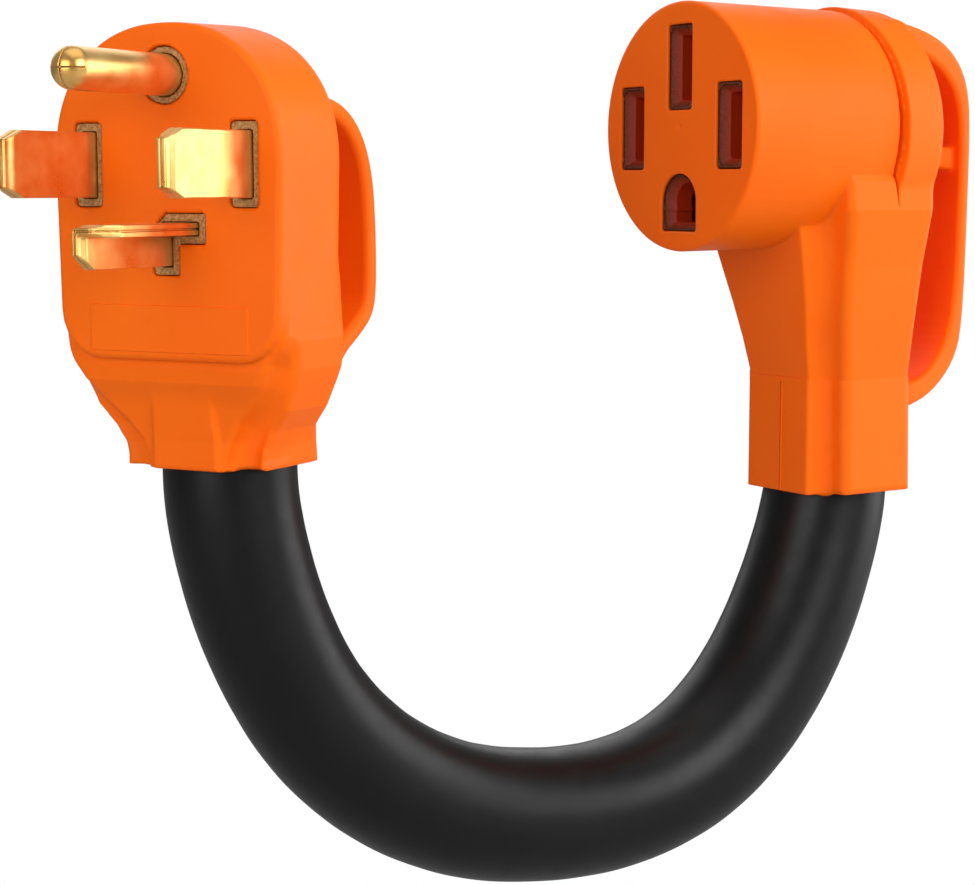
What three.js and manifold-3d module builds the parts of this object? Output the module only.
// Short power adapter cord ("dogbone"): a four-wire angle plug and a four-wire
// angle receptacle, both with a grip loop, joined by one thick rubber cord that
// hangs in a U.
//
// Frame: millimetres, +Z up. The origin is the centre of the plug's face, on the
// line through its two hot blades. The cord hangs in a plane parallel to XZ, from
// the plug's neck to the receptacle's neck at +X. The receptacle faces -X, and the
// plug is turned about Z from that by plugTwist.
//
// Each head is drawn in its own frame: its face is the plane y = 0 with the body
// behind it at +y, x runs to the right of somebody who looks at the face, z is up.

import * as THREE from 'three';
import { mergeVertices } from 'three/addons/utils/BufferGeometryUtils.js';
import Module from 'manifold-3d';

const wasm = await Module();
wasm.setup();

// ---------------------------------------------------------------- dimensions

const gap = 0.3;                 // clearance between two pieces that touch
const rightAngle = Math.PI / 2;

// contact pattern, shared by both heads
const hotSpacing = 33.3;         // between the two hot blades
const groundOffset = 15.7;       // ground pin from the hot line
const neutralOffset = 12.5;      // centre of the receptacle's neutral slot
const hotX = hotSpacing / 2;

// blades of the plug
const pinRadius = 3.7;
const pinLength = 29.2;
const bladeLength = 24.5;
const bladeWidth = 11.8;
const bladeThickness = 3.0;
const bladeTipCut = 2.2;         // corner taken off a blade's tip
const bladeTail = 2.4;           // part of a blade behind its holder
const neutralLength = 26.2;      // the neutral blade stands out further than the hot ones
const legThickness = 2.2;        // both legs of the L-shaped neutral blade
const legLength = 7.8;
const neutralTop = -10.2;        // upper face of the L
const neutralLeft = -1.1;        // outer face of the L's upright leg

// crimp barrels, on blades and contacts alike
const barrelRadius = 3.9;
const barrelWall = 0.9;
const barrelLength = 8;

// plug body
const plugTwist = 31 * Math.PI / 180;
const plugHalfWidth = 24;
const plugArchCentre = 0.6;      // centre of the round top
const plugFaceBottom = -34.9;
const plugCornerRadius = 8.5;
const plugFaceBevel = 1.4;
const plugNeckBack = 19.7;       // the cord's axis behind the face
const plugNeckEnd = -55.5;
const plugNeckHalfWidth = 15.4;  // side wings of the neck
const plugBarHalfWidth = 8;      // raised bar down the neck's front
const plugGrip = {
  back: 48, top: 12.8, bottom: -33, topRadius: 14, bottomRadius: 8, halfWidth: 15.4,
  thickness: 3.6, rootThickness: 5,
};
const plugFaceWall = 1.9;
const plugWall = 3.9;            // wall around the blade holder
const plugPocketFloor = 6;       // and below it
const plugPocketCorner = 5;
const plugHolderBack = 11;
const plugBarrelBack = plugHolderBack + 1.1 + barrelRadius;      // axis of the crimp barrels
const plugChamberBack = plugBarrelBack + barrelRadius + gap;
const plugHeadDepth = plugChamberBack + 1.8;
const pinRecess = 5.15;          // openings in the face around each blade
const bladeRecessWidth = 5.9;
const bladeRecessHeight = 15.2;

// receptacle body
const barrelFaceRadius = 26.2;
const barrelBackRadius = barrelFaceRadius - 0.5;
const collarRadius = barrelFaceRadius + 0.7;
const collarDrop = 0.7;          // the collar's centre below the barrel's
const collarFront = 40.2;
const collarBack = 51;
const grooveWidth = 1.3;
const grooveDepth = 2.4;
const grooveEnd = -13;           // the groove stops above the wings
const socketNeckBack = 42.2;
const socketNeckEnd = -79.6;
const socketNeckHalfWidth = 17.5;
const socketBarHalfWidth = 10.4;
const socketGrip = {
  back: 71.4, top: 22.6, bottom: -61, topRadius: 18, bottomRadius: 12, halfWidth: 13.6,
  thickness: 3, rootThickness: 5.4,
};
const socketWebTop = -2;         // web that ties the grip to the collar
const socketWebHeight = 5;
const socketWebInset = 3;
const socketFaceWall = 2;
const carrierRadius = barrelFaceRadius - 3;
const carrierBack = 24;
const capThickness = 1.6;
const socketChamberBack = 49;
const socketChamberRadius = barrelFaceRadius - 4.6;
const slotWidth = 8.3;           // openings in the face
const slotHeight = 17.8;
const groundSlotWidth = 12;
const groundSlotBottom = -21.8;

// contacts of the receptacle
const contactThickness = 0.9;
const contactHalfWidth = 3.5;
const contactPinch = 1.45;       // half of the gap between the leaves
const contactHeight = 12.6;
const contactFront = 7.5;
const contactBack = 21.5;
const guideWidth = 5.2;          // slot in the carrier in front of a contact
const guideHeight = 14.2;
const groundPinch = 3.6;
const groundContactHalfWidth = 5.6;
const groundContactHeight = 8;
const groundGuideWidth = 8.6;
const groundGuideHeight = 9.4;
const springThickness = 0.8;
const clipShare = 0.4;           // part of a contact's height that its clip covers
const clipMargin = 0.6;

// cord
const cordRadius = 13.2;
const jacketBore = 10.1;
const wireRadius = 3.7;
const wireBore = 2.75;
const strandRadius = 2.3;
const wirePitch = 5.55;          // a wire's axis from the cord's axis
const fillerRadius = 1.3;
const cordSides = 12;
const wireSides = 6;
const strandSides = 6;
const stripLength = 2.4;         // bare strands between a barrel and the insulation
const crimpDepth = 5;            // strands inside a barrel
const plugCordTop = -34;         // where the jacket ends inside each neck
const socketCordTop = -57;
const neckWall = 1.1;            // thinnest wall around the cord

// where the two heads stand
const socketFaceX = 122;
const socketZ = 8.6;
const cordY = plugNeckBack * Math.sin(plugTwist);
const plugCordX = plugNeckBack * Math.cos(plugTwist);
const socketCordX = socketFaceX + socketNeckBack;

// route of the cord's axis, x and z, between the two necks
const route = [
  [17.2, -62], [18.1, -68], [19.6, -74.6], [21.9, -82.4], [25.1, -90.6],
  [29.2, -98.8], [34.6, -107], [41.6, -114.8], [50, -121.6], [60, -127.4],
  [71, -131.6], [83, -134.2], [95, -135.4], [107, -135.1], [118.5, -132.8],
  [129, -128.4], [138, -122], [145.4, -114.2], [151.4, -105.6], [156.2, -96.6],
  [160, -87.4], [162.8, -78.6],
];

// ------------------------------------------------------------------- helpers

const black = 0x17181a;
const orange = 0xff6a13;

const looks = {
  body: { color: orange, roughness: 0.45, metalness: 0 },
  holder: { color: 0x5a2c16, roughness: 0.5, metalness: 0 },
  brass: { color: 0xd8a24a, roughness: 0.3, metalness: 1 },
  steel: { color: 0xb9bcc0, roughness: 0.35, metalness: 1 },
  copper: { color: 0xb8683a, roughness: 0.4, metalness: 1 },
  rubber: { color: black, roughness: 0.5, metalness: 0 },
  filler: { color: 0xc9b48a, roughness: 0.9, metalness: 0 },
};

/** A closed geometry as a manifold solid. */
function solid(geometry) {
  const bare = geometry.index ? geometry.toNonIndexed() : geometry.clone();
  bare.deleteAttribute('normal');
  bare.deleteAttribute('uv');
  const merged = mergeVertices(bare, 1e-4);
  return new wasm.Manifold(new wasm.Mesh({
    numProp: 3,
    vertProperties: new Float32Array(merged.attributes.position.array),
    triVerts: new Uint32Array(merged.index.array),
  }));
}

/** A manifold solid as a geometry, ready for a mesh. */
function geometryOf(body) {
  const mesh = body.getMesh();
  const geometry = new THREE.BufferGeometry();
  geometry.setAttribute('position', new THREE.BufferAttribute(mesh.vertProperties, 3));
  geometry.setIndex(new THREE.BufferAttribute(mesh.triVerts, 1));
  geometry.computeVertexNormals();
  return geometry;
}

function union(...bodies) {
  return bodies.reduce((all, body) => all.add(body));
}

function polygon(points) {
  return new THREE.Shape(points.map(([u, v]) => new THREE.Vector2(u, v)));
}

/** The left half of an outline, given from top to bottom, joined to its mirror. */
function mirrored(points) {
  const other = points.map(([u, v]) => [-u, v]).reverse();
  return polygon([...points, ...other]);
}

const extrudeFlat = (shape, depth, more = {}) =>
  new THREE.ExtrudeGeometry(shape, { depth, bevelEnabled: false, curveSegments: 2, ...more });

/** A shape in x and z, from y = front to y = back. */
function facing(shape, front, back, more) {
  const basis = new THREE.Matrix4().makeBasis(
    new THREE.Vector3(1, 0, 0), new THREE.Vector3(0, 0, 1), new THREE.Vector3(0, -1, 0));
  return solid(extrudeFlat(shape, back - front, more).applyMatrix4(basis).translate(0, back, 0));
}

/** A shape in y and z, from x = left to x = right. */
function sideways(shape, left, right, more) {
  const basis = new THREE.Matrix4().makeBasis(
    new THREE.Vector3(0, 1, 0), new THREE.Vector3(0, 0, 1), new THREE.Vector3(1, 0, 0));
  return solid(extrudeFlat(shape, right - left, more).applyMatrix4(basis).translate(left, 0, 0));
}

/** A shape in x and y, from z = low to z = high. */
function upright(shape, low, high) {
  return solid(extrudeFlat(shape, high - low).translate(0, 0, low));
}

/** The solid that has one outline from the front and another from the side. */
function twoViews(frontShape, sideShape, reach = 100) {
  return facing(frontShape, -reach, reach).intersect(sideways(sideShape, -reach, reach));
}

/** A round bar along y. */
function roundAlong(radius, front, back, x = 0, z = 0, sides = 40, backRadius = radius) {
  return solid(new THREE.CylinderGeometry(backRadius, radius, back - front, sides)
    .translate(x, (front + back) / 2, z));
}

/** A round bar along z. */
function post(radius, low, high, x, y, sides = 16) {
  return solid(new THREE.CylinderGeometry(radius, radius, high - low, sides)
    .rotateX(rightAngle).translate(x, y, (low + high) / 2));
}

function roundedRect(width, height, radius, cx = 0, cz = 0) {
  const shape = new THREE.Shape();
  const [w, h] = [width / 2 - radius, height / 2 - radius];
  shape.absarc(cx + w, cz + h, radius, 0, rightAngle);
  shape.absarc(cx - w, cz + h, radius, rightAngle, 2 * rightAngle);
  shape.absarc(cx - w, cz - h, radius, 2 * rightAngle, 3 * rightAngle);
  shape.absarc(cx + w, cz - h, radius, 3 * rightAngle, 4 * rightAngle);
  return shape;
}

/** A regular section, with a round hole where bore is given. */
function section(radius, sides, bore = 0) {
  const ring = (r) => Array.from({ length: sides }, (_, i) => {
    const angle = 2 * Math.PI * i / sides;
    return new THREE.Vector2(r * Math.cos(angle), r * Math.sin(angle));
  });
  const shape = new THREE.Shape(ring(radius));
  if (bore) shape.holes.push(new THREE.Path(ring(bore)));
  return shape;
}

/** Sheet metal bent along an open line, as an outline with that thickness. */
function strip(line, thickness) {
  const sideOf = (sign) => line.map(([u, v], i) => {
    const [a, b] = [line[Math.max(i - 1, 0)], line[Math.min(i + 1, line.length - 1)]];
    const length = Math.hypot(b[0] - a[0], b[1] - a[1]);
    const offset = sign * thickness / 2 / length;
    return [u - (b[1] - a[1]) * offset, v + (b[0] - a[0]) * offset];
  });
  return polygon([...sideOf(1), ...sideOf(-1).reverse()]);
}

const object = new THREE.Group();
const plug = new THREE.Group();
const socket = new THREE.Group();
plug.rotation.z = plugTwist - rightAngle;
socket.rotation.z = -rightAngle;
socket.position.set(socketFaceX, cordY, socketZ);
object.add(plug, socket);

function addPiece(parent, name, geometry, look) {
  const mesh = new THREE.Mesh(geometry, new THREE.MeshStandardMaterial(look));
  mesh.name = name;
  parent.add(mesh);
}

// ---------------------------------------------------------------------- grip

/** A grip loop seen from the side: a D on the body's back, around a finger gap. */
function gripLoop(grip, front, gapFront) {
  const { back, top, bottom, topRadius, bottomRadius, halfWidth, thickness, rootThickness } = grip;
  const dShape = (start, inset, rootInset) => {
    const [upper, lower] = [topRadius - inset, bottomRadius - inset];
    const shape = new THREE.Shape();
    shape.moveTo(start, bottom + rootInset);
    shape.lineTo(back - bottomRadius, bottom + inset);
    shape.absarc(back - bottomRadius, bottom + bottomRadius, lower, -rightAngle, 0);
    shape.absarc(back - topRadius, top - topRadius, upper, 0, rightAngle);
    shape.lineTo(start, top - rootInset);
    return shape;
  };
  const fine = { curveSegments: 4 };
  return sideways(dShape(front, 0, 0), -halfWidth, halfWidth, fine)
    .subtract(sideways(dShape(gapFront, thickness, rootThickness), -halfWidth - 1, halfWidth + 1,
      fine));
}

// ---------------------------------------------------------------------- plug

function tombstone(halfWidth, archCentre, bottom, corner) {
  const shape = new THREE.Shape();
  shape.absarc(0, archCentre, halfWidth, 0, 2 * rightAngle);
  shape.absarc(-halfWidth + corner, bottom + corner, corner, 2 * rightAngle, 3 * rightAngle);
  shape.absarc(halfWidth - corner, bottom + corner, corner, 3 * rightAngle, 4 * rightAngle);
  return shape;
}

/** The neck's bodies: wings to the sides, a bar down the front and a hump around the cord behind. */
function plugNeck() {
  const clear = cordRadius + neckWall;
  const wing = plugNeckHalfWidth;
  const bar = plugBarHalfWidth;
  const shoulder = plugHalfWidth - 0.6;
  const front = plugNeckBack - clear;
  const back = plugNeckBack + clear;
  const wings = twoViews(
    mirrored([[-shoulder, -10], [-shoulder, -31], [-shoulder + 1.8, -39], [-wing - 3.4, -44.5],
      [-wing - 1, -49.5], [-wing, -52], [-wing, plugNeckEnd]]),
    polygon([[3, -10], [3, -36], [front + 0.4, -50], [front + 0.4, plugNeckEnd],
      [plugNeckBack + 6.6, plugNeckEnd], [plugNeckBack + 3.8, -48.5], [plugHeadDepth + 1.5, -35],
      [plugHeadDepth - 1, -10]]));
  const bars = twoViews(
    mirrored([[-bar + 1.5, -20], [-bar + 1.5, -36], [-bar, -51], [-bar, plugNeckEnd]]),
    polygon([[plugFaceBevel + 0.6, -20], [plugFaceBevel + 0.6, -36], [front - 0.6, -52],
      [front - 0.6, plugNeckEnd], [plugNeckBack, plugNeckEnd], [plugNeckBack, -20]]));
  const hump = twoViews(
    mirrored([[-clear, -20], [-clear, plugNeckEnd]]),
    polygon([[plugNeckBack, -20], [plugNeckBack, plugNeckEnd], [back, plugNeckEnd], [back, -44],
      [back - 1.2, -34], [back - 4, -30], [plugHeadDepth + 1, -20]]));
  const round = facing(polygon([[-60, -20], [60, -20], [60, plugNeckEnd], [-60, plugNeckEnd]]),
    plugNeckBack, back + 10).intersect(post(clear + 1.6, plugNeckEnd, -20, 0, plugNeckBack, 32));
  return union(wings, bars, hump.intersect(round));
}

function neutralOutline(grow) {
  const right = neutralLeft + legLength + grow;
  const left = neutralLeft - grow;
  const top = neutralTop + grow;
  const low = neutralTop - legThickness - grow;
  const inner = neutralLeft + legThickness + grow;
  const bottom = neutralTop - legLength - grow;
  return polygon([[left, top], [left, bottom], [inner, bottom], [inner, low], [right, low],
    [right, top]]);
}

/** Where each blade's crimp barrel stands: axis, height and the wire it takes. */
const plugBarrels = {
  hot_x: { x: -14.6, low: -9 },
  hot_y: { x: 14.6, low: -9 },
  neutral: { x: -3.4, low: -18.5 },
  ground: { x: 0, low: 4.5 },
};

function crimpBarrel(x, y, low) {
  const outer = post(barrelRadius, low, low + barrelLength, x, y);
  const bore = barrelRadius - barrelWall;
  return outer.subtract(post(bore, low - 1, low + barrelLength - barrelWall, x, y));
}

/** A flat blade in the plane x = centre, with its tip corners cut. */
function flatBlade(centre, thickness, low, high) {
  const cut = bladeTipCut;
  const tail = plugHolderBack + bladeTail;
  const outline = polygon([[-bladeLength + cut, low], [tail, low], [tail, high],
    [-bladeLength + cut, high], [-bladeLength, high - cut], [-bladeLength, low + cut]]);
  return sideways(outline, centre - thickness / 2, centre + thickness / 2);
}

function hotBlade(side) {
  const barrel = plugBarrels[side < 0 ? 'hot_x' : 'hot_y'];
  const half = bladeWidth / 2;
  return flatBlade(side * hotX, bladeThickness, -half, half)
    .subtract(post(barrelRadius - 0.3, -20, 20, barrel.x, plugBarrelBack))
    .add(crimpBarrel(barrel.x, plugBarrelBack, barrel.low));
}

function neutralBlade() {
  const { x, low } = plugBarrels.neutral;
  const across = facing(neutralOutline(0), -neutralLength, plugHolderBack);
  const down = facing(polygon([[neutralLeft, neutralTop], [neutralLeft, neutralTop - legLength],
    [neutralLeft + legThickness, neutralTop - legLength], [neutralLeft + legThickness, neutralTop]]),
  0, plugHolderBack + bladeTail);
  const legs = across.add(down);
  const tip = bladeTipCut;
  const keep = sideways(polygon([[-neutralLength + tip, neutralTop + 1], [30, neutralTop + 1],
    [30, -30], [-neutralLength + tip, -30], [-neutralLength, neutralTop - legLength + tip],
    [-neutralLength, neutralTop - tip / 2]]), -20, 20);
  return legs.intersect(keep)
    .subtract(post(barrelRadius - 0.3, -30, 0, x, plugBarrelBack))
    .add(crimpBarrel(x, plugBarrelBack, low));
}

function groundPin() {
  const straight = pinLength - pinRadius;
  const profile = [new THREE.Vector2(0, plugBarrelBack), new THREE.Vector2(pinRadius, plugBarrelBack),
    new THREE.Vector2(pinRadius, -straight)];
  const arcs = 6;
  for (let i = 1; i <= arcs; i += 1) {
    const angle = rightAngle * i / arcs;
    const radius = i === arcs ? 0 : pinRadius * Math.cos(angle);
    profile.push(new THREE.Vector2(radius, -straight - pinRadius * Math.sin(angle)));
  }
  const pin = solid(new THREE.LatheGeometry(profile.reverse(), 24).translate(0, 0, groundOffset));
  const { x, low } = plugBarrels.ground;
  return pin.add(crimpBarrel(x, plugBarrelBack, low));
}

/** The hollow that the holder, the barrels and the wires lie in. */
function plugHollow() {
  const pocket = facing(
    tombstone(plugHalfWidth - plugWall, plugArchCentre, plugFaceBottom + plugPocketFloor,
      plugPocketCorner),
    plugFaceWall, plugHolderBack + gap, { curveSegments: 8 });
  const top = plugArchCentre + plugHalfWidth - 3.3;
  const side = plugHalfWidth - 4.6;
  const throat = jacketBore + 2.5;
  const throatFront = plugNeckBack - jacketBore - 1;
  const throatBack = plugNeckBack + jacketBore - 0.4;
  const low = plugCordTop - 3;
  const chamber = twoViews(
    mirrored([[-6, top], [-side, top - 13.3], [-side, -16], [-throat, low + 5], [-throat, low]]),
    polygon([[plugHolderBack, top], [plugHolderBack, -22], [throatFront, low + 7],
      [throatFront, low], [throatBack, low], [throatBack, low + 5], [plugChamberBack, -16],
      [plugChamberBack, top]]));
  const bore = post(cordRadius + gap, plugNeckEnd - 1, plugCordTop, 0, plugNeckBack, 32);
  const openings = union(
    roundAlong(pinRecess, -1, 5, 0, groundOffset, 28),
    ...[-1, 1].map((side) => facing(
      roundedRect(bladeRecessWidth, bladeRecessHeight, 1, side * hotX, 0), -1, 5)),
    facing(neutralOutline(1.7), -1, 5));
  return union(pocket, chamber, bore, openings);
}

function plugBody() {
  const bevel = plugFaceBevel;
  const outline = tombstone(plugHalfWidth - bevel, plugArchCentre, plugFaceBottom + bevel,
    plugCornerRadius - bevel);
  const head = facing(outline, bevel, plugHeadDepth - bevel, { curveSegments: 8,
    bevelEnabled: true, bevelThickness: bevel, bevelSize: bevel, bevelSegments: 1 });
  const grip = gripLoop(plugGrip, plugHeadDepth - 3, plugHeadDepth);
  return union(head, plugNeck(), grip).subtract(plugHollow());
}

function bladeHolder() {
  const block = facing(
    tombstone(plugHalfWidth - plugWall - gap, plugArchCentre,
      plugFaceBottom + plugPocketFloor + gap, plugPocketCorner),
    plugFaceWall + gap, plugHolderBack, { curveSegments: 8 });
  const passages = union(
    roundAlong(pinRadius + gap, 0, 20, 0, groundOffset, 24),
    ...[-1, 1].map((side) => facing(
      roundedRect(bladeThickness + 2 * gap, bladeWidth + 2 * gap, 0.4, side * hotX, 0), 0, 20)),
    facing(neutralOutline(gap), 0, 20));
  return block.subtract(passages);
}

function buildPlug() {
  addPiece(plug, 'plug_body', geometryOf(plugBody()), looks.body);
  addPiece(plug, 'plug_blade_holder', geometryOf(bladeHolder()), looks.holder);
  addPiece(plug, 'plug_blade_hot_x', geometryOf(hotBlade(-1)), looks.brass);
  addPiece(plug, 'plug_blade_hot_y', geometryOf(hotBlade(1)), looks.brass);
  addPiece(plug, 'plug_blade_neutral', geometryOf(neutralBlade()), looks.brass);
  addPiece(plug, 'plug_pin_ground', geometryOf(groundPin()), looks.brass);
}

// ---------------------------------------------------------------- receptacle

const socketBarrels = {
  hot_x: { x: -14, y: 36, low: -5 },
  hot_y: { x: 14, y: 36, low: -5 },
  neutral: { x: 0, y: 29.6, low: 7 },
  ground: { x: 0, y: 29.6, low: -20.5 },
};

/** Collar and wings: a round hood whose sides run down into the neck. */
function socketShell() {
  const neck = socketNeckHalfWidth;
  const collar = roundAlong(collarRadius, collarFront, collarBack, 0, -collarDrop, 48);
  const shoulder = barrelFaceRadius - 1.8;
  const sides = mirrored([[-shoulder, -9.9], [-shoulder - 0.1, -17.5], [-neck - 3.9, -29.5],
    [-neck - 1.6, -43], [-neck, -54], [-neck, socketNeckEnd]]);
  const front = socketNeckBack - cordRadius;
  const wings = twoViews(sides, polygon([[26.4, -9.9], [26.4, -17.5], [front, -26],
    [front + 2, -54], [front + 2.8, socketNeckEnd], [collarBack + 0.6, socketNeckEnd],
    [collarBack, -54], [collarBack, -10]]));
  return union(collar, wings);
}

/** The bar down the neck's front, from the barrel to the cord's end, and its back. */
function socketBars() {
  const bar = socketBarHalfWidth;
  const clear = cordRadius + neckWall;
  return twoViews(
    mirrored([[-17, -10], [-15, -26], [-bar, -54], [-bar, socketNeckEnd]]),
    polygon([[17, -10], [21, -24], [socketNeckBack - clear, -54],
      [socketNeckBack - clear, socketNeckEnd], [socketNeckBack + clear, socketNeckEnd],
      [socketNeckBack + clear, -58], [collarBack, -40], [collarBack, -10]]));
}

/** Round at the top and square at the bottom. */
function groundSlot(width, bottom) {
  const shape = new THREE.Shape();
  shape.absarc(0, -groundOffset, width / 2, 0, 2 * rightAngle);
  shape.lineTo(-width / 2, bottom);
  shape.lineTo(width / 2, bottom);
  return shape;
}

function socketHollow() {
  const pocket = roundAlong(carrierRadius + gap, socketFaceWall, carrierBack + capThickness + 2 * gap,
    0, 0, 40);
  const head = roundAlong(socketChamberRadius, carrierBack, socketChamberBack, 0, 0, 32);
  const shoulder = socketChamberRadius - 3.6;
  const middle = socketNeckBack;
  const low = socketCordTop - 2;
  const wide = twoViews(
    mirrored([[-shoulder, -12], [-shoulder, -28], [-socketNeckHalfWidth + 2.3, -52],
      [-cordRadius - 0.2, low]]),
    polygon([[carrierBack + 4.8, -12], [middle - 11, -26], [middle - 9.2, -50],
      [middle - 9.2, low], [socketChamberBack, low], [socketChamberBack, -12]]));
  const bar = socketBarHalfWidth - 1.8;
  const clear = cordRadius - 0.8;
  const deep = twoViews(
    mirrored([[-bar, -10], [-bar, low]]),
    polygon([[carrierBack, -10], [carrierBack, -26], [middle - clear, -54], [middle - clear, low],
      [middle + clear, low], [middle + clear, low + 2], [socketChamberBack, -36],
      [socketChamberBack, -10]]));
  const bore = post(cordRadius + gap, socketNeckEnd - 1, socketCordTop, 0, socketNeckBack, 32);
  const openings = union(
    ...[-1, 1].map((side) => facing(
      roundedRect(slotWidth, slotHeight, 1.2, side * hotX, 0), -1, 5)),
    facing(roundedRect(slotWidth, slotHeight, 1.2, 0, neutralOffset), -1, 5),
    facing(groundSlot(groundSlotWidth, groundSlotBottom), -1, 5));
  return union(pocket, head, wide, deep, bore, openings);
}

function socketBody() {
  const bevel = 0.8;
  const barrel = union(
    roundAlong(barrelFaceRadius - bevel, 0, bevel, 0, 0, 48, barrelFaceRadius),
    roundAlong(barrelFaceRadius, bevel, collarFront, 0, 0, 48, barrelBackRadius));
  const groove = roundAlong(collarRadius + 5, collarFront - grooveWidth, collarFront, 0, 0, 48)
    .subtract(roundAlong(barrelBackRadius - grooveDepth, 0, 60, 0, 0, 48))
    .subtract(facing(polygon([[-40, -60], [40, -60], [40, grooveEnd], [-40, grooveEnd]]), 0, 60));
  const grip = gripLoop(socketGrip, collarBack - 2, collarBack);
  const webLow = socketWebTop - socketWebHeight;
  const webHalf = socketGrip.halfWidth - socketWebInset;
  const web = sideways(polygon([[collarBack - 1, socketWebTop], [collarBack - 1, webLow],
    [socketGrip.back - 1, webLow - 2], [socketGrip.back - 1, socketWebTop - 2]]), -webHalf, webHalf);
  return union(barrel, socketShell(), socketBars()).subtract(groove).add(grip).add(web)
    .subtract(socketHollow());
}

/** Bent sheet with two sprung leaves, seen from above, open to the front. */
function leafContact(halfWidth, pinch) {
  const outer = halfWidth - contactThickness / 2;
  const inner = pinch + contactThickness / 2;
  const right = [[outer - 0.4, contactFront + 0.4], [inner, contactFront + 4.6],
    [outer - 0.6, contactFront + 9], [outer, contactBack - 1.4]];
  const left = right.map(([u, v]) => [-u, v]);
  const base = contactBack - contactThickness / 2;
  return strip([...right, [outer - 0.9, base], [-outer + 0.9, base], ...left.reverse()],
    contactThickness);
}

/** Steel clip that presses a contact's leaves together from outside. */
function clip({ x, z, half, pinch, tall }) {
  const near = half + springThickness / 2 + 0.35;
  const waist = pinch + contactThickness + springThickness / 2 + 0.5;
  const shape = strip([[waist, contactFront + 4.6], [near, contactFront + 10],
    [near, contactBack + 0.2], [near - 0.6, contactBack + 0.9],
    [-near + 0.6, contactBack + 0.9], [-near, contactBack + 0.2], [-near, contactFront + 10],
    [-waist, contactFront + 4.6]], springThickness);
  const low = z - tall / 2 + clipMargin;
  return upright(shape, low, low + clipShare * tall).translate([x, 0, 0]);
}

const bladeContact = {
  half: contactHalfWidth, pinch: contactPinch, tall: contactHeight,
  guide: [guideWidth, guideHeight],
};
const contactPlaces = {
  hot_x: { x: -hotX, z: 0, ...bladeContact },
  hot_y: { x: hotX, z: 0, ...bladeContact },
  neutral: { x: 0, z: neutralOffset, ...bladeContact },
  ground: {
    x: 0, z: -groundOffset, half: groundContactHalfWidth, pinch: groundPinch,
    tall: groundContactHeight, guide: [groundGuideWidth, groundGuideHeight],
  },
};

function contact(name) {
  const { x, z, half, pinch, tall } = contactPlaces[name];
  const barrel = socketBarrels[name];
  const leaves = upright(leafContact(half, pinch), z - tall / 2, z + tall / 2)
    .translate([x, 0, 0]);
  const tabZ = z - tall / 2 + clipMargin + clipShare * tall + 1.5 * gap;
  const tab = upright(polygon([[x - 2, contactBack - contactThickness],
    [x + 2, contactBack - contactThickness], [barrel.x + 2, barrel.y - barrelRadius + 0.6],
    [barrel.x - 2, barrel.y - barrelRadius + 0.6]]), tabZ, tabZ + 2.4);
  return union(leaves, tab, crimpBarrel(barrel.x, barrel.y, barrel.low));
}

function carrier() {
  const front = socketFaceWall + gap;
  const disc = roundAlong(carrierRadius, front, carrierBack, 0, 0, 40);
  const cuts = Object.values(contactPlaces).map(({ x, z, half, tall, guide: opening }) => {
    const guide = facing(roundedRect(...opening, 0.8, x, z), 0, 30);
    const pocketWidth = 2 * (half + springThickness + 0.75);
    const pocketHeight = tall + 2 * gap;
    const pocket = facing(roundedRect(pocketWidth, pocketHeight, 0.3, x, z), contactFront - 0.5, 30);
    return union(guide, pocket);
  });
  return disc.subtract(union(...cuts));
}

/** The cap that closes the carrier behind the contacts, with a notch for each tab. */
function carrierCap() {
  const front = carrierBack + gap;
  const disc = roundAlong(carrierRadius, front, front + capThickness, 0, 0, 40);
  const notches = Object.keys(contactPlaces).map((name) => {
    const { x, z } = contactPlaces[name];
    const barrel = socketBarrels[name];
    const low = Math.min(z, barrel.low) - 0.5;
    const high = Math.max(z + 7, barrel.low + barrelLength + 0.5);
    return facing(roundedRect(9, high - low, 0.6, (x + barrel.x) / 2, (low + high) / 2), 0, 40);
  });
  return disc.subtract(union(...notches));
}

function buildSocket() {
  addPiece(socket, 'socket_body', geometryOf(socketBody()), looks.body);
  addPiece(socket, 'socket_contact_carrier', geometryOf(carrier()), looks.holder);
  addPiece(socket, 'socket_carrier_cap', geometryOf(carrierCap()), looks.holder);
  for (const [name, place] of Object.entries(contactPlaces)) {
    addPiece(socket, `socket_contact_${name}`, geometryOf(contact(name)), looks.brass);
    addPiece(socket, `socket_clip_${name}`, geometryOf(clip(place)), looks.steel);
  }
}

// ---------------------------------------------------------------------- cord

const axisPoints = [
  [plugCordX, plugCordTop], [plugCordX, -44], [plugCordX, plugNeckEnd], ...route,
  [socketCordX, socketNeckEnd + socketZ], [socketCordX, socketZ - 68],
  [socketCordX, socketZ + socketCordTop],
];

/** The cord's axis moved sideways in its own plane and across it. */
function cordLine(inPlane, across) {
  return axisPoints.map(([x, z], i) => {
    const a = axisPoints[Math.max(i - 1, 0)];
    const b = axisPoints[Math.min(i + 1, axisPoints.length - 1)];
    const length = Math.hypot(b[0] - a[0], b[1] - a[1]);
    const inward = [-(b[1] - a[1]) / length, (b[0] - a[0]) / length];
    return new THREE.Vector3(x + inward[0] * inPlane, cordY + across, z + inward[1] * inPlane);
  });
}

/** A curve that is cut where its points are, so that tight bends get short steps. */
class Route extends THREE.CatmullRomCurve3 {
  getPointAt(u, target) {
    return this.getPoint(u, target);
  }

  getTangentAt(u, target) {
    return this.getTangent(u, target);
  }

  getSpacedPoints(divisions) {
    return this.getPoints(divisions);
  }
}

function sweep(points, shape) {
  const path = new Route(points, false, 'centripetal');
  return new THREE.ExtrudeGeometry(shape,
    { steps: points.length - 1, extrudePath: path, bevelEnabled: false });
}

/** A point of a head's own frame, in the object's frame. */
function placed(group, x, y, z) {
  group.updateMatrixWorld(true);
  return new THREE.Vector3(x, y, z).applyMatrix4(group.matrixWorld);
}

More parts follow.
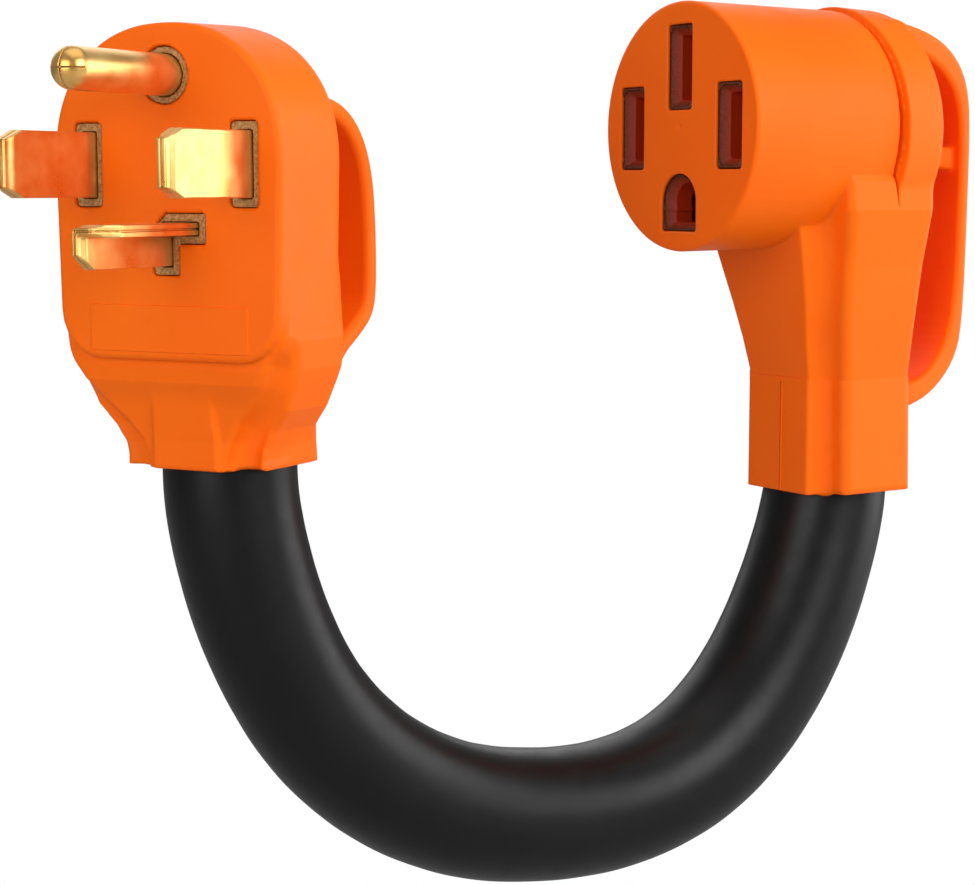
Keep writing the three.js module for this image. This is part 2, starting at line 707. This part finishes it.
/** Each wire's place in the cord, and the bends that lead it to its two barrels. */
const wires = {
  hot_x: {
    inPlane: 0, across: wirePitch, color: 0x16181a,
    plugBends: [[-8.4, 20.8, -30], [-10.8, 18.4, -26], [-13.8, 16.2, -17]],
    socketBends: [[-6.4, 41, -50], [-9.6, 38.6, -38], [-12.6, 36.8, -27], [-13.8, 36.1, -17]],
  },
  hot_y: {
    inPlane: 0, across: -wirePitch, color: 0xa81f1a,
    plugBends: [[7.0, 16.7, -31], [10.6, 16.3, -26], [13.9, 16.1, -17]],
    socketBends: [[6.4, 41, -50], [9.6, 38.6, -38], [12.6, 36.8, -27], [13.8, 36.1, -17]],
  },
  neutral: {
    inPlane: -wirePitch, across: 0, color: 0xd9d8d2,
    plugBends: [[-3.2, 15.3, -28]],
    socketBends: [[0, 47.2, -48], [0, 44.6, -36], [0, 41.4, -24], [0, 38, -12], [0, 32.6, -2]],
  },
  ground: {
    inPlane: wirePitch, across: 0, color: 0x1f7a3c,
    plugBends: [[2.2, 23, -30], [3, 19.4, -26], [4.9, 16.1, -17], [4.4, 16, -9], [0.6, 16, -2.5]],
    socketBends: [[0, 35.6, -49], [0, 33.2, -40], [0, 30.4, -31]],
  },
};

function wirePoints(name) {
  const wire = wires[name];
  const start = plugBarrels[name];
  const end = socketBarrels[name];
  const through = cordLine(wire.inPlane, wire.across);
  const atPlug = (z) => placed(plug, start.x, plugBarrelBack, z);
  const atSocket = (z) => placed(socket, end.x, end.y, z);
  return [
    atPlug(start.low + crimpDepth), atPlug(start.low - stripLength),
    ...wire.plugBends.map((p) => placed(plug, ...p)).reverse(),
    ...through,
    ...wire.socketBends.map((p) => placed(socket, ...p)),
    atSocket(end.low - stripLength), atSocket(end.low + crimpDepth),
  ];
}

function buildCord() {
  const middle = cordLine(0, 0);
  addPiece(object, 'cord_jacket',
    sweep(middle, section(cordRadius, cordSides, jacketBore)), looks.rubber);
  addPiece(object, 'cord_filler', sweep(middle, section(fillerRadius, strandSides)), looks.filler);
  for (const [name, { color }] of Object.entries(wires)) {
    const points = wirePoints(name);
    addPiece(object, `wire_strands_${name}`, sweep(points, section(strandRadius, strandSides)),
      looks.copper);
    addPiece(object, `wire_insulation_${name}`,
      sweep(points.slice(1, -1), section(wireRadius, wireSides, wireBore)),
      { color, roughness: 0.5, metalness: 0 });
  }
}

buildPlug();
buildSocket();
buildCord();

export default object;
